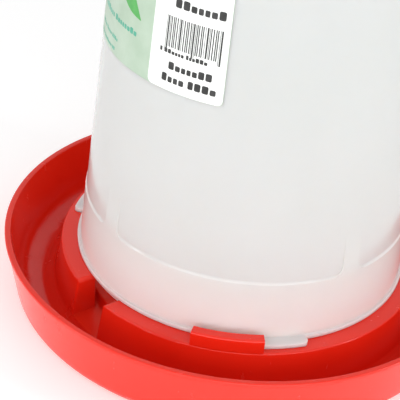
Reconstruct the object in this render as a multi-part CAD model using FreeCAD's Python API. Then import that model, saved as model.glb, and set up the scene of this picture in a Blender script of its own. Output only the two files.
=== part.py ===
"""Poultry waterer fount: an annular drinking tray with a bayonet ring, an inverted translucent
tank that locks into it, a wrap-round label and a swinging carrying handle.

Units are millimetres. The origin is on the fount's axis, in the plane it stands on, with +Z up
and -Y to the front. An azimuth is measured in degrees from the front (-Y) towards +X.
"""

import FreeCAD, Part

import math
import os

# ---- driving dimensions ----

# tray
TRAY_RADIUS = 145.0             # outer edge of the rim lip
TRAY_HEIGHT = 40.0              # stand plane to rim top
TRAY_WALL = 2.4                 # moulded wall of the ring and floor
RIM_WALL = 2.8                  # wall of the outer upstand, below its lip
LIP_WIDTH = 3.6
LIP_HEIGHT = 2.6
LIP_ROUND = 1.0
LIP_ROOT_ROUND = 0.4
FOOT_RADIUS = 136.7             # where foot and upstand would meet without their rounding
FOOT_CORNER = 8.0               # outside radius between foot and upstand
TROUGH_EDGE_RADIUS = 134.4      # where trough floor and upstand would meet
TROUGH_CORNER = 13.0
TROUGH_FLOOR = 2.6              # height of the water side of the trough floor
FLOOR_INNER_RADIUS = 120.5      # where the trough floor turns up towards the ring
FLOOR_ROUND = 5.0
FLANK_RADIUS = 114.0            # foot of the ring's outer wall
FLANK_HEIGHT = 7.6
FLANK_ROUND = 5.0
FOOT_SETBACK = 0.8              # inner edge of the foot, inside that turn
FOOT_DEPTH = 0.3                # height of the foot's square inner edge

# bayonet ring inside the trough
RING_RADIUS = 110.2
RING_INNER_RADIUS = 98.2
LEDGE_HEIGHT = 32.4             # top of the ring, which carries the tank
LEDGE_ROUND = 1.3
CHANNEL_HEIGHT = 9.0            # floor of the drain channel and of the water outlet
PLATEAU_RADIUS = 94.0
PLATEAU_HEIGHT = 14.0
CROWN_HEIGHT = 19.0             # crown of the floor under the tank
CROWN_RADIUS = 34.0             # level middle of the crown
CROWN_ROUND = 260.0
RING_ROUND = 1.0
RING_DRAFT = 0.6                # how far the ring's inner wall leans in over its height
PLATEAU_DRAFT = 0.5
HOLLOW_ROUND = 0.8              # roundings of the hollow underside
HOLLOW_TIGHT_ROUND = 0.4

# the one water outlet, and the bayonet hoods and lugs, three to the turn
COPIES = 3
OUTLET_AZIMUTH = -48.4
OUTLET_WIDTH = 25.5
OUTLET_ROUND = 1.25
OUTLET_TOP_ROUND = 2.6          # between each cheek of the outlet and the ledge
OUTLET_REACH = 4.0              # cut past the ring's inner wall
OUTLET_RUNOUT = 6.0             # cut past the foot of the ring's outer wall
HOOD_AZIMUTH = 0.0
HOOD_SPAN = 21.6                # degrees
HOOD_HEIGHT = 8.7               # above the ledge
HOOD_INNER_RADIUS = 103.9
HOOD_WALL = 2.2
HOOD_STOP_SPAN = 1.6            # degrees of closed end that stops the lug
HOOD_BEAD_RADIUS = 105.4
HOOD_BEAD_GAP = 0.6             # left between the lug and the bead that holds it down
HOOD_ROUND = 1.4
HOOD_EDGE_ROUND = 0.5
HOOD_STOP_GAP = 0.8             # flange to closed end
HOOD_ROOT = 0.5                 # depth that the hood is sunk into the ring

# tank
SEAT_GAP = 0.2                  # flange to ledge
FLANGE_RADIUS = 100.8
FLANGE_THICKNESS = 2.6
FLANGE_ROUND = 0.7
SPIGOT_RADIUS = 97.0
SPIGOT_DEPTH = 5.5              # below the ledge: it sets the water level in the trough
SPIGOT_ROUND = 0.6
NECK_LOW = 3.0                  # above the ledge: the bore widens from the spigot to the side
NECK_HIGH = 7.0
NECK_ROUND = 2.0
TANK_WALL = 2.0
TANK_RADIUS = 98.6              # outside of the wall at ledge height
TANK_TAPER = 2.93               # degrees
SHOULDER_HEIGHT = 263.0         # where the side would meet the roof without its rounding
SHOULDER_ROUND = 15.0
ROOF_HEIGHT = 269.0             # crown of the roof
ROOF_RADIUS = 42.0              # level middle of the roof
ROOF_ROUND = 240.0
COLLAR_PROUD = 0.6              # collar and ribs stand proud of the panels by this
COLLAR_TOP = 69.7
COLLAR_ROUND = 6.0
COLLAR_FADE = 94.0              # height where collar ribs have run out into the wall
COLLAR_FADE_ROUND = 120.0
PANEL_RAMP = 1.5                # height of the ramp from collar edge to panel
PANEL_ROUND = 2.0
PANEL_CORNER = 6.0              # rounding of each lower corner of a panel
PANEL_CLEAR = 3.0               # how far the cutting shape stands out of the side
RIB_AZIMUTH = 40.5
RIB_COUNT = 4
RIB_SPAN = 7.0                  # degrees
LUG_RADIUS = 106.6
LUG_END_AZIMUTH = 25.4          # trailing end of the lug, outside the hood
LUG_SPAN = 34.2                 # degrees
LUG_CORNER = 3.6
LUG_ROUND = 0.5

# label
LABEL_THICKNESS = 0.25
LABEL_GAP = 0.02
LABEL_BOTTOM = 172.2
LABEL_TOP = 247.0
LABEL_RIGHT_AZIMUTH = -10.9
LABEL_LEFT_AZIMUTH = -95.0
LABEL_CORNER = 3.0

# carrying handle
PIVOT_HEIGHT = 279.0
PIVOT_SPREAD = 60.5             # axis of the fount to the middle of each roof lug
PIVOT_PIN_RADIUS = 3.0
PIVOT_CLEARANCE = 0.1
EYE_THICKNESS = 5.0
EYE_WIDTH = 16.0
EYE_BURY = 8.0                  # root of each roof lug below the crown of the roof
HANDLE_GAP = 0.5                # roof lug to handle arm
HANDLE_THICKNESS = 5.0
HANDLE_WIDTH = 12.0
HANDLE_RISE = 14.0              # pivot to the start of the arch
HANDLE_END_RADIUS = 7.5
HANDLE_ROUND = 1.6
PIN_REACH = 7.0                 # length of each pin from the inside of its arm
HANDLE_DROOP = 6.0              # degrees below level where the folded handle rests
GRIP_THICKNESS = 9.0
GRIP_WIDTH = 13.0
GRIP_SPAN = 74.0                # degrees of the arch
GRIP_ROUND = 3.2
PIN_ROUND = 0.8

CUT = 1.0                       # how far cutting shapes run past what they cut
BIG = 400.0
UP = FreeCAD.Vector(0, 0, 1)
ORIGIN = FreeCAD.Vector(0, 0, 0)


# ---- helpers ----

def unit(start, end):
    """Direction from one (x, z) point to another."""
    length = math.dist(start, end)
    return (end[0] - start[0]) / length, (end[1] - start[1]) / length


def rounded_face(corners):
    """Face in the XZ plane bounded by corners (x, z) or (x, z, rounding radius)."""
    ends = []
    count = len(corners)
    for index, corner in enumerate(corners):
        point = corner[:2]
        radius = corner[2] if len(corner) > 2 else 0.0
        if not radius:
            ends.append((point, None, point))
            continue
        back = unit(point, corners[index - 1][:2])
        ahead = unit(point, corners[(index + 1) % count][:2])
        half = math.acos(max(-1.0, min(1.0, back[0] * ahead[0] + back[1] * ahead[1]))) / 2
        reach = radius / math.tan(half)
        middle = unit((0.0, 0.0), (back[0] + ahead[0], back[1] + ahead[1]))
        depth = radius / math.sin(half) - radius
        ends.append(tuple((point[0] + way[0] * far, point[1] + way[1] * far)
                          for way, far in ((back, reach), (middle, depth), (ahead, reach))))
    edges = []
    for index, (start, middle, end) in enumerate(ends):
        if middle:
            edges.append(Part.Arc(at(start), at(middle), at(end)).toShape())
        following = ends[(index + 1) % count][0]
        if math.dist(end, following) > 1e-6:
            edges.append(Part.LineSegment(at(end), at(following)).toShape())
    return Part.Face(Part.Wire(edges))


def at(point):
    """Vector in the XZ plane."""
    return FreeCAD.Vector(point[0], 0, point[1])


def turned(shape, azimuth):
    """Copy of a shape that lies at +X, turned to an azimuth."""
    copy = shape.copy()
    copy.rotate(ORIGIN, UP, azimuth - 90)
    return copy


def ring(face):
    """Whole turn of a face about the axis."""
    return face.revolve(ORIGIN, UP, 360)


def sector(face, start, end):
    """Part turn of a face, between two azimuths."""
    return turned(face, start).revolve(ORIGIN, UP, end - start)


def around(shape, count):
    """Evenly spaced copies about the axis, starting with the shape itself."""
    copies = []
    for index in range(count):
        copy = shape.copy()
        copy.rotate(ORIGIN, UP, index * 360.0 / count)
        copies.append(copy)
    return copies


def rounded(shape, radius, chosen):
    """Shape with the edges picked by a test rounded."""
    edges = [edge for edge in shape.Edges if chosen(edge)]
    return shape.makeFillet(radius, edges)


def corner_scrap(azimuth, inward, height, upward, radius, shift=0.0):
    """Radial prism that fills one corner of a patch of a turned surface, outside its rounding.

    The patch lies inward of the azimuth (+1 or -1) and upward of the height (+1 or -1), and
    its corner is shifted inward by a length.
    """
    reach = TANK_RADIUS / 2
    side = -CUT if inward > 0 else -radius
    low = -CUT if upward > 0 else -radius
    block = Part.makeBox(reach, radius + CUT, radius + CUT, FreeCAD.Vector(reach * 1.5, side, low))
    rod = Part.makeCylinder(radius, reach + 2 * CUT,
                            FreeCAD.Vector(reach * 1.5 - CUT, inward * radius, upward * radius),
                            FreeCAD.Vector(1, 0, 0))
    scrap = block.cut(rod)
    scrap.translate(FreeCAD.Vector(0, inward * shift, height))
    return turned(scrap, azimuth)


# ---- tray ----

def tray_outside():
    """Everything under the tray's upper surface, down to the stand plane."""
    top, ledge = TRAY_HEIGHT, LEDGE_HEIGHT
    inside = TRAY_RADIUS - LIP_WIDTH
    profile = rounded_face([
        (0, 0), (FOOT_RADIUS, 0, FOOT_CORNER), (inside + RIM_WALL, top - LIP_HEIGHT, LIP_ROOT_ROUND),
        (TRAY_RADIUS, top - LIP_HEIGHT, LIP_ROUND), (TRAY_RADIUS, top, LIP_ROUND), (inside, top, LIP_ROUND),
        (TROUGH_EDGE_RADIUS, TROUGH_FLOOR, TROUGH_CORNER), (FLOOR_INNER_RADIUS, TROUGH_FLOOR, FLOOR_ROUND),
        (FLANK_RADIUS, FLANK_HEIGHT, FLANK_ROUND), (RING_RADIUS, ledge, LEDGE_ROUND),
        (RING_INNER_RADIUS, ledge, RING_ROUND),
        (RING_INNER_RADIUS - RING_DRAFT, CHANNEL_HEIGHT, RING_ROUND),
        (PLATEAU_RADIUS, CHANNEL_HEIGHT, RING_ROUND),
        (PLATEAU_RADIUS - PLATEAU_DRAFT, PLATEAU_HEIGHT, RING_ROUND),
        (CROWN_RADIUS, CROWN_HEIGHT, CROWN_ROUND), (0, CROWN_HEIGHT)])
    return ring(profile)


def tray_hollow():
    """The hollow under the ring and floor, which leaves one moulded wall everywhere."""
    wall = TRAY_WALL
    channel, plateau = CHANNEL_HEIGHT - wall, PLATEAU_HEIGHT - wall
    edge = FLOOR_INNER_RADIUS - FOOT_SETBACK
    profile = rounded_face([
        (0, -CUT), (edge, -CUT), (edge, FOOT_DEPTH, FOOT_DEPTH / 2),
        (FLANK_RADIUS - wall - HOLLOW_TIGHT_ROUND, FLANK_HEIGHT - wall, 2 * HOLLOW_ROUND),
        (RING_RADIUS - wall, LEDGE_HEIGHT - wall, HOLLOW_ROUND),
        (RING_INNER_RADIUS + wall, LEDGE_HEIGHT - wall, HOLLOW_ROUND),
        (RING_INNER_RADIUS + wall - RING_DRAFT, channel, HOLLOW_TIGHT_ROUND),
        (PLATEAU_RADIUS - wall, channel, HOLLOW_TIGHT_ROUND),
        (PLATEAU_RADIUS - wall - PLATEAU_DRAFT, plateau, HOLLOW_TIGHT_ROUND),
        (CROWN_RADIUS, CROWN_HEIGHT - wall, CROWN_ROUND), (0, CROWN_HEIGHT - wall)])
    return ring(profile)


def outlet_block(extra, drop):
    """Block through the ring at the outlet, wider all round by extra and deeper by drop."""
    width = OUTLET_WIDTH + 2 * extra
    inner = RING_INNER_RADIUS - OUTLET_REACH - extra
    length = FLANK_RADIUS + OUTLET_RUNOUT - inner
    block = Part.makeBox(length, width, BIG, FreeCAD.Vector(inner, -width / 2, CHANNEL_HEIGHT - drop))
    return turned(block, OUTLET_AZIMUTH)


def beside_outlet(edge):
    """Whether an edge runs round a cheek of the outlet, above the outlet's floor."""
    nearly = 0.01
    way = plan(1, OUTLET_AZIMUTH)
    first, last = edge.FirstParameter, edge.LastParameter
    spots = [edge.valueAt(value) for value in (first, (first + last) / 2, last)]
    return (max(spot.z for spot in spots) > CHANNEL_HEIGHT + CUT
            and min(spot.dot(way) for spot in spots) > RING_INNER_RADIUS - OUTLET_REACH
            and all(abs(abs(spot.cross(way).z) - OUTLET_WIDTH / 2) < nearly for spot in spots))


def hood():
    """One bayonet hood: outside wall, roof with a hold-down bead, and a closed stop end."""
    base, top = LEDGE_HEIGHT - HOOD_ROOT, LEDGE_HEIGHT + HOOD_HEIGHT
    start, end = HOOD_AZIMUTH - HOOD_SPAN / 2, HOOD_AZIMUTH + HOOD_SPAN / 2
    bead = LEDGE_HEIGHT + SEAT_GAP + FLANGE_THICKNESS + HOOD_BEAD_GAP
    inside, under = RING_RADIUS - HOOD_WALL, top - HOOD_WALL
    shell = rounded_face([
        (RING_RADIUS, base), (RING_RADIUS, top, HOOD_ROUND), (HOOD_INNER_RADIUS, top, HOOD_EDGE_ROUND),
        (HOOD_INNER_RADIUS, bead, HOOD_EDGE_ROUND), (HOOD_BEAD_RADIUS, bead, HOOD_EDGE_ROUND),
        (HOOD_BEAD_RADIUS, under, HOOD_EDGE_ROUND), (inside, under, HOOD_EDGE_ROUND), (inside, base)])
    stop = rounded_face([
        (RING_RADIUS, base), (RING_RADIUS, top, HOOD_ROUND), (HOOD_INNER_RADIUS, top, HOOD_EDGE_ROUND),
        (FLANGE_RADIUS + HOOD_STOP_GAP, bead), (FLANGE_RADIUS + HOOD_STOP_GAP, base)])
    return sector(shell, start, end).fuse(sector(stop, start, start + HOOD_STOP_SPAN)).removeSplitter()


def tray():
    """The whole red moulding."""
    solid = tray_outside().cut(outlet_block(0.0, 0.0))
    solid = rounded(solid, OUTLET_ROUND, beside_outlet)
    for side in (-1, 1):
        solid = solid.cut(corner_scrap(OUTLET_AZIMUTH, side, LEDGE_HEIGHT, -1,
                                       OUTLET_TOP_ROUND, OUTLET_WIDTH / 2))
    solid = solid.cut(tray_hollow().cut(outlet_block(TRAY_WALL, TRAY_WALL)))
    for copy in around(hood(), COPIES):
        solid = solid.fuse(copy)
    return solid.removeSplitter()


# ---- tank ----

def side_radius(height, proud=0.0):
    """Outside radius of the tapered side at a height."""
    return TANK_RADIUS + proud - (height - LEDGE_HEIGHT) * math.tan(math.radians(TANK_TAPER))


def tank_outside():
    """Everything inside the tank's outer surface, collar included."""
    seat = LEDGE_HEIGHT + SEAT_GAP
    lip = LEDGE_HEIGHT - SPIGOT_DEPTH
    top = seat + FLANGE_THICKNESS
    profile = rounded_face([
        (0, lip), (SPIGOT_RADIUS, lip, SPIGOT_ROUND), (SPIGOT_RADIUS, seat),
        (FLANGE_RADIUS, seat, FLANGE_ROUND), (FLANGE_RADIUS, top, FLANGE_ROUND),
        (side_radius(top, COLLAR_PROUD), top, FLANGE_ROUND),
        (side_radius(COLLAR_TOP, COLLAR_PROUD), COLLAR_TOP, COLLAR_ROUND),
        (side_radius(COLLAR_FADE), COLLAR_FADE, COLLAR_FADE_ROUND),
        (side_radius(SHOULDER_HEIGHT), SHOULDER_HEIGHT, SHOULDER_ROUND),
        (ROOF_RADIUS, ROOF_HEIGHT, ROOF_ROUND), (0, ROOF_HEIGHT)])
    return ring(profile)


def tank_inside():
    """The water space."""
    lip = LEDGE_HEIGHT - SPIGOT_DEPTH - CUT
    bore = SPIGOT_RADIUS - TANK_WALL
    low, high = LEDGE_HEIGHT + NECK_LOW, LEDGE_HEIGHT + NECK_HIGH
    profile = rounded_face([
        (0, lip), (bore, lip), (bore, low, NECK_ROUND), (side_radius(high, -TANK_WALL), high, NECK_ROUND),
        (side_radius(SHOULDER_HEIGHT, -TANK_WALL), SHOULDER_HEIGHT - TANK_WALL, SHOULDER_ROUND - TANK_WALL),
        (ROOF_RADIUS, ROOF_HEIGHT - TANK_WALL, ROOF_ROUND), (0, ROOF_HEIGHT - TANK_WALL)])
    return ring(profile)


def panel_cut():
    """One recess between two ribs, from its ramped lower edge to where it runs out into the side."""
    low, high = COLLAR_TOP, COLLAR_FADE + CUT
    ramp = low + PANEL_RAMP
    profile = rounded_face([
        (side_radius(low, COLLAR_PROUD), low), (side_radius(ramp), ramp, PANEL_ROUND),
        (side_radius(high), high), (side_radius(high, PANEL_CLEAR), high),
        (side_radius(low, PANEL_CLEAR), low)])
    start = RIB_AZIMUTH + RIB_SPAN / 2
    end = RIB_AZIMUTH + 360.0 / RIB_COUNT - RIB_SPAN / 2
    cut = sector(profile, start, end)
    cut = cut.cut(corner_scrap(start, 1, low, 1, PANEL_CORNER))
    return cut.cut(corner_scrap(end, -1, low, 1, PANEL_CORNER))


def lug():
    """One bayonet lug with rounded outer corners."""
    seat = LEDGE_HEIGHT + SEAT_GAP
    profile = rounded_face([
        (SPIGOT_RADIUS, seat), (LUG_RADIUS, seat, LUG_ROUND),
        (LUG_RADIUS, seat + FLANGE_THICKNESS, LUG_ROUND), (SPIGOT_RADIUS, seat + FLANGE_THICKNESS)])
    solid = sector(profile, LUG_END_AZIMUTH - LUG_SPAN, LUG_END_AZIMUTH)
    return solid.common(lug_outline(seat))


def lug_outline(seat):
    """Prism whose plan rounds the two outer corners of a lug."""
    start, end = LUG_END_AZIMUTH - LUG_SPAN, LUG_END_AZIMUTH
    middle = (start + end) / 2
    corner = math.degrees(LUG_CORNER / LUG_RADIUS)
    bite = 1 - math.sqrt(0.5)
    half_way, inner, root = LUG_RADIUS - bite * LUG_CORNER, LUG_RADIUS - LUG_CORNER, SPIGOT_RADIUS - CUT
    edges = [
        Part.Arc(plan(LUG_RADIUS, start + corner), plan(LUG_RADIUS, middle), plan(LUG_RADIUS, end - corner)),
        Part.Arc(plan(LUG_RADIUS, end - corner), plan(half_way, end - bite * corner), plan(inner, end)),
        Part.LineSegment(plan(inner, end), plan(root, end)),
        Part.Arc(plan(root, end), plan(root, middle), plan(root, start)),
        Part.LineSegment(plan(root, start), plan(inner, start)),
        Part.Arc(plan(inner, start), plan(half_way, start + bite * corner), plan(LUG_RADIUS, start + corner))]
    face = Part.Face(Part.Wire([edge.toShape() for edge in edges]))
    face.translate(FreeCAD.Vector(0, 0, seat - CUT))
    return face.extrude(FreeCAD.Vector(0, 0, FLANGE_THICKNESS + 2 * CUT))


def plan(radius, azimuth):
    """Point in plan at a radius and azimuth."""
    angle = math.radians(azimuth)
    return FreeCAD.Vector(radius * math.sin(angle), -radius * math.cos(angle), 0)


def roof_lug(side):
    """Upright lug on the roof with the hole for one handle pin."""
    low = ROOF_HEIGHT - EYE_BURY
    half = EYE_WIDTH / 2
    x = side * PIVOT_SPREAD - EYE_THICKNESS / 2
    plate = Part.makeBox(EYE_THICKNESS, EYE_WIDTH, PIVOT_HEIGHT - low, FreeCAD.Vector(x, -half, low))
    across = FreeCAD.Vector(1, 0, 0)
    head = Part.makeCylinder(half, EYE_THICKNESS, FreeCAD.Vector(x, 0, PIVOT_HEIGHT), across)
    hole = Part.makeCylinder(PIVOT_PIN_RADIUS + PIVOT_CLEARANCE, EYE_THICKNESS + 2 * CUT,
                             FreeCAD.Vector(x - CUT, 0, PIVOT_HEIGHT), across)
    return plate.fuse(head).cut(hole).removeSplitter()


def tank():
    """The whole translucent moulding."""
    solid = tank_outside()
    for cut in around(panel_cut(), RIB_COUNT):
        solid = solid.cut(cut)
    for copy in around(lug(), COPIES):
        solid = solid.fuse(copy)
    for side in (-1, 1):
        solid = solid.fuse(roof_lug(side))
    return solid.cut(tank_inside()).removeSplitter()


# ---- label ----

def label():
    """Printed label wrapped on the tapered side, with rounded corners."""
    inner, outer = LABEL_GAP, LABEL_GAP + LABEL_THICKNESS
    profile = rounded_face([
        (side_radius(LABEL_BOTTOM, inner), LABEL_BOTTOM), (side_radius(LABEL_BOTTOM, outer), LABEL_BOTTOM),
        (side_radius(LABEL_TOP, outer), LABEL_TOP), (side_radius(LABEL_TOP, inner), LABEL_TOP)])
    sheet = sector(profile, LABEL_LEFT_AZIMUTH, LABEL_RIGHT_AZIMUTH)
    for azimuth, inward in ((LABEL_LEFT_AZIMUTH, 1), (LABEL_RIGHT_AZIMUTH, -1)):
        for height, upward in ((LABEL_BOTTOM, 1), (LABEL_TOP, -1)):
            sheet = sheet.cut(corner_scrap(azimuth, inward, height, upward, LABEL_CORNER))
    return sheet


# ---- handle ----

def arch(radius_in, radius_out, width, start, end):
    """Curved bar of rectangular section about the arch centre, between two angles from +X."""
    low, high = math.radians(start), math.radians(end)
    middle = (low + high) / 2

    def point(radius, angle):
        return FreeCAD.Vector(radius * math.cos(angle), -width / 2, radius * math.sin(angle))

    edges = [Part.Arc(point(radius_out, low), point(radius_out, middle), point(radius_out, high)),
             Part.LineSegment(point(radius_out, high), point(radius_in, high)),
             Part.Arc(point(radius_in, high), point(radius_in, middle), point(radius_in, low)),
             Part.LineSegment(point(radius_in, low), point(radius_out, low))]
    face = Part.Face(Part.Wire([edge.toShape() for edge in edges]))
    return face.extrude(FreeCAD.Vector(0, width, 0))


def handle_arm(side, inside):
    """One straight arm with its round pivot end, on the +X or -X side."""
    x = inside if side > 0 else -inside - HANDLE_THICKNESS
    across = FreeCAD.Vector(1, 0, 0)
    end = Part.makeCylinder(HANDLE_END_RADIUS, HANDLE_THICKNESS, FreeCAD.Vector(x, 0, 0), across)
    bar = Part.makeBox(HANDLE_THICKNESS, HANDLE_WIDTH, HANDLE_RISE, FreeCAD.Vector(x, -HANDLE_WIDTH / 2, 0))
    return end.fuse(bar)


def handle_pin(side, inside):
    """One pivot pin, standing inwards from its arm."""
    root = FreeCAD.Vector(side * (inside + CUT), 0, 0)
    pin = Part.makeCylinder(PIVOT_PIN_RADIUS, PIN_REACH + CUT, root, FreeCAD.Vector(-side, 0, 0))
    return rounded(pin, PIN_ROUND, lambda edge: abs(edge.CenterOfMass.x) < inside - CUT)


def handle():
    """The red carrying handle, folded forwards over the roof."""
    inside = PIVOT_SPREAD + EYE_THICKNESS / 2 + HANDLE_GAP
    outside = inside + HANDLE_THICKNESS
    bow = arch(inside, outside, HANDLE_WIDTH, 0, 180)
    bow.translate(FreeCAD.Vector(0, 0, HANDLE_RISE))
    solid = bow.fuse(handle_arm(1, inside)).fuse(handle_arm(-1, inside)).removeSplitter()
    solid = rounded(solid, HANDLE_ROUND, lambda edge: edge.Length > HANDLE_WIDTH + CUT)
    grow = (GRIP_THICKNESS - HANDLE_THICKNESS) / 2
    grip = arch(inside - grow, outside + grow, GRIP_WIDTH, 90 - GRIP_SPAN / 2, 90 + GRIP_SPAN / 2)
    grip.translate(FreeCAD.Vector(0, 0, HANDLE_RISE))
    solid = solid.fuse(rounded(grip, GRIP_ROUND, lambda edge: True))
    for side in (-1, 1):
        solid = solid.fuse(handle_pin(side, inside))
    solid = solid.removeSplitter()
    solid.rotate(ORIGIN, FreeCAD.Vector(1, 0, 0), 90 + HANDLE_DROOP)
    solid.translate(FreeCAD.Vector(0, 0, PIVOT_HEIGHT))
    return solid


def main():
    """Write every node's STEP file."""
    os.makedirs("parts", exist_ok=True)
    for build in (tray, tank, label, handle):
        shape = build()
        shape.exportStep("parts/" + build.__name__ + ".step")
        box = shape.BoundBox
        print("%-8s solids %d valid %s volume %.0f  z %.2f..%.2f  x %.1f..%.1f  y %.1f..%.1f" % (
            build.__name__, len(shape.Solids), shape.isValid(), shape.Volume,
            box.ZMin, box.ZMax, box.XMin, box.XMax, box.YMin, box.YMax))


main()
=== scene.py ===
"""Looks for the poultry waterer fount: glossy red tray and handle, milky translucent tank, printed label.

Lengths are in metres. The origin is on the fount's axis in the plane it stands on, +Z up, -Y front.
An azimuth is in degrees from the front (-Y) towards +X.
"""

import math

import bpy
from mathutils import Matrix, Vector


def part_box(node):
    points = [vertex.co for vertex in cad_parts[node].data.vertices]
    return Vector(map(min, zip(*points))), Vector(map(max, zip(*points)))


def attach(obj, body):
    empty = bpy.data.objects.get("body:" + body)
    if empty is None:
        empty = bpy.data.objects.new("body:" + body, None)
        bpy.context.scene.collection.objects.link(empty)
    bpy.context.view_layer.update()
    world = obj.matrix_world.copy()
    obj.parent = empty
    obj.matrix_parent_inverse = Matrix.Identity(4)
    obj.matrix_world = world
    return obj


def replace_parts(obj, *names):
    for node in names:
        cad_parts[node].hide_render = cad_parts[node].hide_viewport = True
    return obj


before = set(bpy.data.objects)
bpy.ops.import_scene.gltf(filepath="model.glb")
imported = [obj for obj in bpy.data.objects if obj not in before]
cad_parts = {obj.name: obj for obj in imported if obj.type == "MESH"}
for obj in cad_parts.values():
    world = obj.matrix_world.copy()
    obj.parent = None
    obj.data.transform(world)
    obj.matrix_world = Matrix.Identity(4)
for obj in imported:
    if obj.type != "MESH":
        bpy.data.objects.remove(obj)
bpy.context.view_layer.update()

MM = 0.001

# ---- the tank's tapered side, which the label is wrapped on ----

SIDE_RADIUS = 98.6 * MM         # at ledge height
LEDGE_HEIGHT = 32.4 * MM
SIDE_TAPER = math.radians(2.93)

# ---- label ----

LABEL_LOW, LABEL_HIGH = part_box("label")
LABEL_BOTTOM = LABEL_LOW.z
LABEL_TOP = LABEL_HIGH.z
LABEL_LEFT = -95.0              # azimuths of its edges
LABEL_RIGHT = -10.9
LABEL_CORNER = 3.0 * MM
FILM_LIFT = 0.02 * MM           # off the tank's side
FILM_THICKNESS = 0.18 * MM
INK_THICKNESS = 0.025 * MM
FIELD_LIFT = FILM_LIFT + FILM_THICKNESS - INK_THICKNESS / 2     # half sunk in the film
INK_LIFT = FIELD_LIFT + 0.8 * INK_THICKNESS                     # a fifth sunk in the field

FIELD_LEFT = -39.5              # left edge of the white field
FIELD_INSET = 0.15              # degrees between the right edges of field and film
FIELD_MARGIN = 0.1 * MM         # film left above and below the field

# bars
CODE_LEFT, CODE_RIGHT = -33.8, -13.2
CODE_BOTTOM, CODE_TOP = 196.0 * MM, 212.7 * MM
CODE_GUARD = 2.3 * MM           # how far the guard bars run below the others
BAR_COUNT = 30
BAR_INK = 0.92                  # inked share of a bar's width

# illegible print: left azimuth, foot and letter size in millimetres, letters in each word
DARK_LINES = (
    (-31.2, 218.0, 4.8, (7,)),
    (-31.4, 184.2, 4.2, (7,)),
    (-33.6, 177.0, 4.4, (4, 4)),
    (-35.5, 192.5, 2.4, (1, 6, 6)))
TEAL_LINES = (
    (-76.0, 191.8, 3.4, (7, 8)),
    (-78.0, 180.6, 2.2, (6, 5, 4)),
    (-78.0, 174.4, 2.0, (4, 9, 2)))
LETTER_WIDTH = 0.56             # the narrowest letter; these five are shares of the letter size
LETTER_VARIATION = 0.26
LETTER_GAP = 0.17
WORD_GAP = 0.4
SMALL_LETTER = 0.72             # height of a letter that isn't a capital
LETTER_ROUND = 0.22             # share of the letter's width

# leaf
LEAF_LEFT, LEAF_RIGHT = -66.0, -45.8
LEAF_START, LEAF_END = 226.0 * MM, 202.0 * MM   # heights of its left and right tips
LEAF_STEPS = 16
LEAF_ABOVE, LEAF_BELOW = 17.0 * MM, 13.0 * MM   # its full belly over and under the line between tips
LEAF_TIP = 0.02                 # share of the belly left at each tip


# ---- small helpers ----

def on_side(azimuth, height, lift):
    """Point over the tank's tapered side."""
    radius = SIDE_RADIUS - (height - LEDGE_HEIGHT) * math.tan(SIDE_TAPER) + lift
    angle = math.radians(azimuth)
    return Vector((radius * math.sin(angle), -radius * math.cos(angle), height))


def degrees_wide(width):
    """Azimuth span of an arc length at mid label."""
    radius = SIDE_RADIUS - ((LABEL_BOTTOM + LABEL_TOP) / 2 - LEDGE_HEIGHT) * math.tan(SIDE_TAPER)
    return math.degrees(width / radius)


def new_object(name, vertices, faces):
    """Mesh object from vertices and faces."""
    mesh = bpy.data.meshes.new(name)
    mesh.from_pydata([tuple(v) for v in vertices], [], faces)
    mesh.update()
    piece = bpy.data.objects.new(name, mesh)
    bpy.context.scene.collection.objects.link(piece)
    return piece


class Patches:
    """Thin closed patches wrapped on the tank's side, gathered into one mesh."""

    STATION_SPAN = 2.0          # degrees between stations along a patch
    OPEN_END = 0.999            # share of a corner's rounding that its end station takes

    def __init__(self, lift, thickness):
        self.lift = lift
        self.thickness = thickness
        self.vertices = []
        self.faces = []

    def strip(self, stations):
        """Patch through stations (azimuth, low height, high height), from left to right."""
        base = len(self.vertices)
        for azimuth, low, high in stations:
            for lift in (self.lift, self.lift + self.thickness):
                self.vertices.append(on_side(azimuth, low, lift))
                self.vertices.append(on_side(azimuth, high, lift))
        for index in range(len(stations) - 1):
            a = base + 4 * index
            b = a + 4
            self.faces += [(a + 2, b + 2, b + 3, a + 3), (a, a + 1, b + 1, b),
                           (a, b, b + 2, a + 2), (a + 1, a + 3, b + 3, b + 1)]
        end = base + 4 * (len(stations) - 1)
        self.faces += [(base, base + 2, base + 3, base + 1), (end, end + 1, end + 3, end + 2)]

    def rounded(self, left, right, low, high, radius, steps=4):
        """Rectangle with rounded corners."""
        turn = degrees_wide(radius)
        stations = []
        for index in range(steps + 1):
            angle = math.radians(90.0 * index / steps)
            cut = radius * (1 - math.sin(angle)) * self.OPEN_END
            stations.append((left + turn * (1 - math.cos(angle)), low + cut, high - cut))
        count = max(1, round((right - left) / self.STATION_SPAN))
        for index in range(1, count):
            azimuth = left + (right - left) * index / count
            if left + turn < azimuth < right - turn:
                stations.append((azimuth, low, high))
        for azimuth, bottom, top in reversed(stations[:steps + 1]):
            stations.append((left + right - azimuth, bottom, top))
        self.strip(stations)

    def words(self, left, low, size, counts, seed):
        """Illegible line of letter-sized blocks, in words of the given counts."""
        azimuth = left
        for word, count in enumerate(counts):
            for index in range(count):
                pick = math.sin(seed + 7.3 * index + 3.1 * word) * 0.5 + 0.5
                capital = index == 0 or pick > 0.8
                width = size * (LETTER_WIDTH + LETTER_VARIATION * pick)
                tall = size * (1.0 if capital else SMALL_LETTER)
                span = degrees_wide(width)
                self.rounded(azimuth, azimuth + span, low, low + tall, LETTER_ROUND * width, 2)
                azimuth += span + degrees_wide(LETTER_GAP * size)
            azimuth += degrees_wide(WORD_GAP * size)

    def piece(self, name, material):
        """The gathered mesh as a piece that rides on the tank."""
        made = new_object(name, self.vertices, self.faces)
        made.data.materials.append(material)
        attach(made, "tank")
        return made


# ---- materials ----

PLASTIC_IOR = 1.49
FILM_IOR = 1.45
NOISE_LOW, NOISE_HIGH = 0.3, 0.7        # the part of a noise that a tone spreads over

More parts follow.
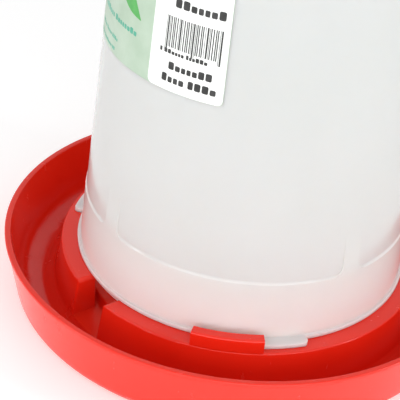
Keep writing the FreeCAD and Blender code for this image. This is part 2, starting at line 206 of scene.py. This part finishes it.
RED_SHADES = (0.78, 0.019, 0.006), (0.83, 0.024, 0.009)
RED_SCATTER = (1.0, 0.1, 0.05)
RED_CLEAN, RED_SCUFFED = 0.19, 0.34     # roughness
WAVE_DEPTH = 0.4 * MM                   # of the bump that stands for moulding waviness

MILKY_SHADES = (0.645, 0.675, 0.63), (0.665, 0.69, 0.65)
MILKY_SCATTER = (1.0, 0.9, 0.8)
COLLAR_PAINTED_LIGHT = (0.86, 0.80, 0.76)       # painted light near the tray: lighter where the ring and hoods shade the collar, warmer as a painted reflection of the red tray
# heights over which the collar's painted light fades out going up
PAINTED_LIGHT_LOW, PAINTED_LIGHT_HIGH = 34 * MM, 74 * MM

GREEN_FILM = (0.37, 0.49, 0.37), (0.46, 0.57, 0.46)
WHITE_FIELD = (0.86, 0.88, 0.86), (0.90, 0.92, 0.90)
BLACK_INK = (0.018, 0.018, 0.018), (0.045, 0.045, 0.045)
TEAL_INK = (0.05, 0.34, 0.22), (0.10, 0.42, 0.30)
LEAF_INK = (0.06, 0.34, 0.07), (0.10, 0.42, 0.10)


class Nodes:
    """Builds one procedural material."""

    def __init__(self, name):
        self.material = bpy.data.materials.new(name)
        self.material.use_nodes = True
        self.tree = self.material.node_tree
        self.shader = self.tree.nodes["Principled BSDF"]
        self.place = self.add("ShaderNodeTexCoord").outputs["Object"]

    def add(self, kind, **settings):
        """New node of a kind."""
        node = self.tree.nodes.new(kind)
        for key, value in settings.items():
            setattr(node, key, value)
        return node

    def link(self, source, target):
        """Connect two sockets."""
        self.tree.links.new(source, target)

    def set(self, **sockets):
        """Set uniform values on the shader, with _ for each blank in a socket's name."""
        for key, value in sockets.items():
            self.shader.inputs[key.replace("_", " ")].default_value = value

    def drive(self, socket, source):
        """Connect a source to one of the shader's sockets."""
        self.link(source, self.shader.inputs[socket])

    def noise(self, per_metre, detail=3.0, roughness=0.5, stretch=(1, 1, 1)):
        """Noise value in object space."""
        mapping = self.add("ShaderNodeMapping")
        mapping.inputs["Scale"].default_value = stretch
        self.link(self.place, mapping.inputs["Vector"])
        node = self.add("ShaderNodeTexNoise")
        node.inputs["Scale"].default_value = per_metre
        node.inputs["Detail"].default_value = detail
        node.inputs["Roughness"].default_value = roughness
        self.link(mapping.outputs["Vector"], node.inputs["Vector"])
        return node.outputs["Fac"]

    def height(self):
        """Height above the stand plane."""
        split = self.add("ShaderNodeSeparateXYZ")
        self.link(self.place, split.inputs["Vector"])
        return split.outputs["Z"]

    def spread(self, value, low, high, out_low=0.0, out_high=1.0):
        """Map a value from one range to another, clamped."""
        node = self.add("ShaderNodeMapRange")
        for key, number in (("From Min", low), ("From Max", high), ("To Min", out_low), ("To Max", out_high)):
            node.inputs[key].default_value = number
        self.link(value, node.inputs["Value"])
        return node.outputs["Result"]

    def mix(self, factor, first, second):
        """Blend two colours, each a colour or a socket."""
        node = self.add("ShaderNodeMix", data_type="RGBA")
        self.link(factor, node.inputs["Factor"])
        for key, colour in ((6, first), (7, second)):
            if isinstance(colour, tuple):
                node.inputs[key].default_value = (*colour, 1.0)
            else:
                self.link(colour, node.inputs[key])
        return node.outputs[2]

    def mottled(self, shades, per_metre, detail=3.0):
        """Uneven tone between two shades."""
        return self.mix(self.spread(self.noise(per_metre, detail), NOISE_LOW, NOISE_HIGH), *shades)

    def bump(self, height, strength, distance):
        """Surface normal bumped by a height."""
        node = self.add("ShaderNodeBump")
        node.inputs["Strength"].default_value = strength
        node.inputs["Distance"].default_value = distance
        self.link(height, node.inputs["Height"])
        return node.outputs["Normal"]


def red_plastic():
    """Glossy red polypropylene with faint moulding waviness and handling scuffs."""
    m = Nodes("red_plastic")
    m.set(IOR=PLASTIC_IOR, Subsurface_Weight=0.06, Subsurface_Scale=3 * MM, Subsurface_Radius=RED_SCATTER)
    m.drive("Base Color", m.mottled(RED_SHADES, 18.0))
    scuff = m.spread(m.noise(90.0, detail=6.0, roughness=0.7, stretch=(1.0, 1.0, 0.35)), 0.55, 0.72)
    m.drive("Roughness", m.spread(scuff, 0.0, 1.0, RED_CLEAN, RED_SCUFFED))
    m.drive("Normal", m.bump(m.noise(40.0, detail=2.0), 0.2, WAVE_DEPTH))
    return m.material


def milky_plastic():
    """Translucent natural polypropylene, with painted light on its collar near the tray."""
    m = Nodes("milky_plastic")
    m.set(IOR=PLASTIC_IOR, Subsurface_Weight=0.85, Subsurface_Scale=12 * MM, Subsurface_Radius=MILKY_SCATTER)
    side = m.mottled(MILKY_SHADES, 14.0)
    # painted light: the collar is lighter and warmer low down, standing in for light bounced off the red tray
    # and offsetting the shade of the ring and hoods
    painted_light_near_tray = m.spread(m.height(), PAINTED_LIGHT_LOW, PAINTED_LIGHT_HIGH, 1.0, 0.0)
    m.drive("Base Color", m.mix(painted_light_near_tray, side, COLLAR_PAINTED_LIGHT))
    m.drive("Roughness", m.spread(m.noise(30.0, detail=1.0), 0.25, 0.75, 0.13, 0.15))
    m.drive("Normal", m.bump(m.noise(24.0, detail=1.0), 0.08, WAVE_DEPTH))
    return m.material


def printed(name, shades, roughness=0.3, per_metre=220.0):
    """Printed film in a slightly uneven tone."""
    m = Nodes(name)
    m.set(IOR=FILM_IOR)
    m.drive("Base Color", m.mottled(shades, per_metre, detail=4.0))
    m.drive("Roughness", m.spread(m.noise(400.0), NOISE_LOW, NOISE_HIGH, roughness, roughness + 0.08))
    return m.material


def paint(node, material):
    """Give a carried-over CAD node a material."""
    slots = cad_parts[node].data.materials
    slots.clear()
    slots.append(material)


# ---- the label's pieces ----

def make_label():
    """Green film, white field, bar pattern, lines of illegible print and a plain leaf."""
    film = Patches(FILM_LIFT, FILM_THICKNESS)
    film.rounded(LABEL_LEFT, LABEL_RIGHT, LABEL_BOTTOM, LABEL_TOP, LABEL_CORNER, 6)
    green = printed("label_film", GREEN_FILM, roughness=0.28, per_metre=60.0)
    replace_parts(film.piece("label_film", green), "label")

    field = Patches(FIELD_LIFT, INK_THICKNESS)
    field.rounded(FIELD_LEFT, LABEL_RIGHT - FIELD_INSET,
                  LABEL_BOTTOM + FIELD_MARGIN, LABEL_TOP - FIELD_MARGIN, LABEL_CORNER, 6)
    field.piece("label_field", printed("label_field", WHITE_FIELD))

    black = printed("label_black", BLACK_INK)
    make_bars().piece("label_bars", black)
    make_lines(DARK_LINES, 1).piece("label_print", black)
    make_lines(TEAL_LINES, 5).piece("label_small_print", printed("label_teal", TEAL_INK))
    make_leaf().piece("label_leaf", printed("label_leaf", LEAF_INK))


def make_bars():
    """Upright bars whose widths and gaps follow a simple formula, between taller guard bars."""
    bars = Patches(INK_LIFT, INK_THICKNESS)
    widths = [1 + (3 * index * index + index) % 7 // 2 for index in range(BAR_COUNT)]
    gaps = [1 + (5 * index + index * index // 3) % 5 // 2 for index in range(BAR_COUNT - 1)]
    module = (CODE_RIGHT - CODE_LEFT) / (sum(widths) + sum(gaps))
    middle, last = BAR_COUNT // 2, BAR_COUNT - 1
    azimuth = CODE_LEFT
    for index, width in enumerate(widths):
        guard = index in (0, 1, middle, middle + 1, last - 1, last)
        low = CODE_BOTTOM - (CODE_GUARD if guard else 0.0)
        bars.strip([(azimuth, low, CODE_TOP), (azimuth + BAR_INK * width * module, low, CODE_TOP)])
        azimuth += module * (width + (gaps[index] if index < last else 0))
    return bars


def make_lines(lines, first_seed):
    """Lines of illegible print, each with its own seed for the letters' widths."""
    letters = Patches(INK_LIFT, INK_THICKNESS)
    for seed, (azimuth, foot, size, counts) in enumerate(lines, first_seed):
        letters.words(azimuth, foot * MM, size * MM, counts, seed)
    return letters


def make_leaf():
    """Plain leaf shape at the top of the green film."""
    leaf = Patches(INK_LIFT, INK_THICKNESS)
    stations = []
    for index in range(LEAF_STEPS + 1):
        along = index / LEAF_STEPS
        belly = math.sin(math.pi * along) * 0.5 + LEAF_TIP
        middle = LEAF_START + (LEAF_END - LEAF_START) * along
        azimuth = LEAF_LEFT + (LEAF_RIGHT - LEAF_LEFT) * along
        stations.append((azimuth, middle - belly * LEAF_BELOW, middle + belly * LEAF_ABOVE))
    leaf.strip(stations)
    return leaf


# ---- stage, lights and camera ----

FLOOR_HALF = 4.0
FLOOR_SHADES = (0.90, 0.90, 0.90), (0.92, 0.92, 0.92)
WHITE = (1.0, 1.0, 1.0, 1.0)
DIMMING_START, DIMMING_END = 0.45, 0.9  # sines of the elevations that the sky dims between
LIGHT_TARGET = Vector((0.0, 0.0, 0.12))

CAMERA_PLACE = Vector((0.0, -0.6721, 0.4859))
CAMERA_TARGET = Vector((-0.0274, 0.0, 0.0582))
CAMERA_ROLL = math.radians(5.942)
CAMERA_LENS = 117.2
CAMERA_SENSOR = 36.0


def make_floor():
    """Plain pale floor, lit a little from below like a light table."""
    corners = [(x * FLOOR_HALF, y * FLOOR_HALF, 0) for x, y in ((-1, -1), (1, -1), (1, 1), (-1, 1))]
    floor = new_object("floor", corners, [(0, 1, 2, 3)])
    m = Nodes("floor_paper")
    m.set(Roughness=0.9, Emission_Strength=0.28, Emission_Color=WHITE)
    m.drive("Base Color", m.mix(m.noise(3.0), *FLOOR_SHADES))
    floor.data.materials.append(m.material)


def make_world(horizon, zenith):
    """White surroundings, dimmer overhead."""
    world = bpy.data.worlds.new("studio")
    world.use_nodes = True
    nodes, links = world.node_tree.nodes, world.node_tree.links
    coordinates = nodes.new("ShaderNodeTexCoord")
    split = nodes.new("ShaderNodeSeparateXYZ")
    ramp = nodes.new("ShaderNodeMapRange")
    for key, number in (("From Min", DIMMING_START), ("From Max", DIMMING_END),
                        ("To Min", horizon), ("To Max", zenith)):
        ramp.inputs[key].default_value = number
    links.new(coordinates.outputs["Generated"], split.inputs["Vector"])
    links.new(split.outputs["Z"], ramp.inputs["Value"])
    links.new(ramp.outputs["Result"], nodes["Background"].inputs["Strength"])
    nodes["Background"].inputs["Color"].default_value = WHITE
    bpy.context.scene.world = world


def area_light(name, shape, width, power):
    """Area light at the origin that faces down."""
    data = bpy.data.lights.new(name, "AREA")
    data.shape = shape
    data.size = width
    data.energy = power
    light = bpy.data.objects.new(name, data)
    bpy.context.scene.collection.objects.link(light)
    return light


def softbox(name, azimuth, distance, height, width, tall, power):
    """Upright rectangular area light that faces the fount from an azimuth."""
    light = area_light(name, "RECTANGLE", width, power)
    light.data.size_y = tall
    angle = math.radians(azimuth)
    light.location = (distance * math.sin(angle), -distance * math.cos(angle), height)
    light.rotation_euler = (LIGHT_TARGET - light.location).to_track_quat("-Z", "Y").to_euler()


def inside_glow(height, width, power):
    """Round light in the tank that faces down: daylight let in by the milky wall."""
    light = area_light("inside_glow", "DISK", width, power)
    light.location = (0.0, 0.0, height)


def make_lights():
    """One broad softbox in front, a narrow one on each side, and the glow in the tank."""
    softbox("front_softbox", azimuth=4.0, distance=1.30, height=0.36, width=2.9, tall=0.9, power=15.5)
    inside_glow(height=0.070, width=0.15, power=0.045)
    for name, azimuth in (("left_strip", -66.0), ("right_strip", 74.0)):
        softbox(name, azimuth, distance=1.10, height=0.50, width=0.10, tall=1.0, power=2.2)


def make_camera():
    """Close view from the front, tilted and rolled a little."""
    data = bpy.data.cameras.new("camera")
    data.lens = CAMERA_LENS
    data.sensor_width = CAMERA_SENSOR
    camera = bpy.data.objects.new("camera", data)
    look = (CAMERA_TARGET - CAMERA_PLACE).to_track_quat("-Z", "Y").to_matrix().to_4x4()
    camera.matrix_world = Matrix.Translation(CAMERA_PLACE) @ look @ Matrix.Rotation(CAMERA_ROLL, 4, "Z")
    bpy.context.scene.collection.objects.link(camera)
    bpy.context.scene.camera = camera


RED = red_plastic()
paint("tray", RED)
paint("handle", RED)
paint("tank", milky_plastic())
make_label()
make_floor()
make_world(horizon=0.70, zenith=0.62)
make_lights()
make_camera()
bpy.context.scene.view_settings.view_transform = "Standard"
